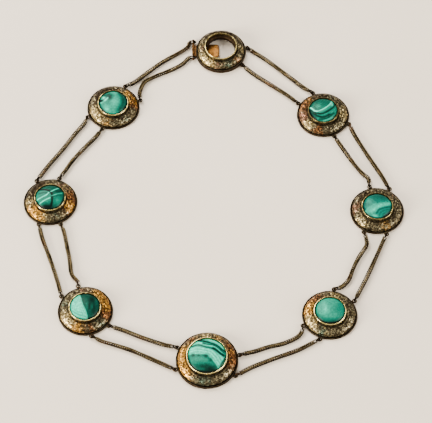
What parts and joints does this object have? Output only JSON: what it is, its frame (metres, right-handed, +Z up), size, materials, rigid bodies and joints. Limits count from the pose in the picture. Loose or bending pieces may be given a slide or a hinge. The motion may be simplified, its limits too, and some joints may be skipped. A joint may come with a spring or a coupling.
{
  "type": "livery collar",
  "caption": "Livery collar of round domed gilt roundels set with green cabochons, joined by pairs of fine chains into one loop that closes with a tongue clasp.",
  "frame": {"origin": "on the surface that the collar lies on, under the middle of its footprint", "axes": "+Z up from the surface, +Y from the centre-piece at the front to the clasp at the back, +X to the right seen from above with the clasp at the top"},
  "size_m": [0.2118, 0.2342, 0.0087],
  "materials": {
    "worn_gilt_silver": "domed sheet silver, engraved scroll band, worn gilding with copper and grey-green patina",
    "malachite": "polished banded green stone, light and dark bands",
    "copper": "warm polished copper, lightly worn",
    "oxidised_silver_chain": "dark oxidised silver with bright worn ridges"
  },
  "bodies": {
    "root": {"roundel_clasp": "worn_gilt_silver", "roundel_upper_right": "worn_gilt_silver", "stone_upper_right": "malachite", "roundel_right": "worn_gilt_silver", "stone_right": "malachite", "roundel_lower_right": "worn_gilt_silver", "stone_lower_right": "malachite", "roundel_centre": "worn_gilt_silver", "stone_centre": "malachite", "roundel_lower_left": "worn_gilt_silver", "stone_lower_left": "malachite", "roundel_left": "worn_gilt_silver", "stone_left": "malachite", "roundel_upper_left": "worn_gilt_silver", "stone_upper_left": "malachite", "clasp_tongue": "copper", "chain_outer_clasp_to_upper_right": "oxidised_silver_chain", "chain_outer_upper_right_to_right": "oxidised_silver_chain", "chain_outer_right_to_lower_right": "oxidised_silver_chain", "chain_outer_lower_right_to_centre": "oxidised_silver_chain", "chain_outer_centre_to_lower_left": "oxidised_silver_chain", "chain_outer_lower_left_to_left": "oxidised_silver_chain", "chain_outer_left_to_upper_left": "oxidised_silver_chain", "chain_outer_upper_left_to_clasp": "oxidised_silver_chain", "chain_inner_clasp_to_upper_right": "oxidised_silver_chain", "chain_inner_upper_right_to_right": "oxidised_silver_chain", "chain_inner_right_to_lower_right": "oxidised_silver_chain", "chain_inner_lower_right_to_centre": "oxidised_silver_chain", "chain_inner_centre_to_lower_left": "oxidised_silver_chain", "chain_inner_lower_left_to_left": "oxidised_silver_chain", "chain_inner_left_to_upper_left": "oxidised_silver_chain", "chain_inner_upper_left_to_clasp": "oxidised_silver_chain"}
  },
  "joints": []
}
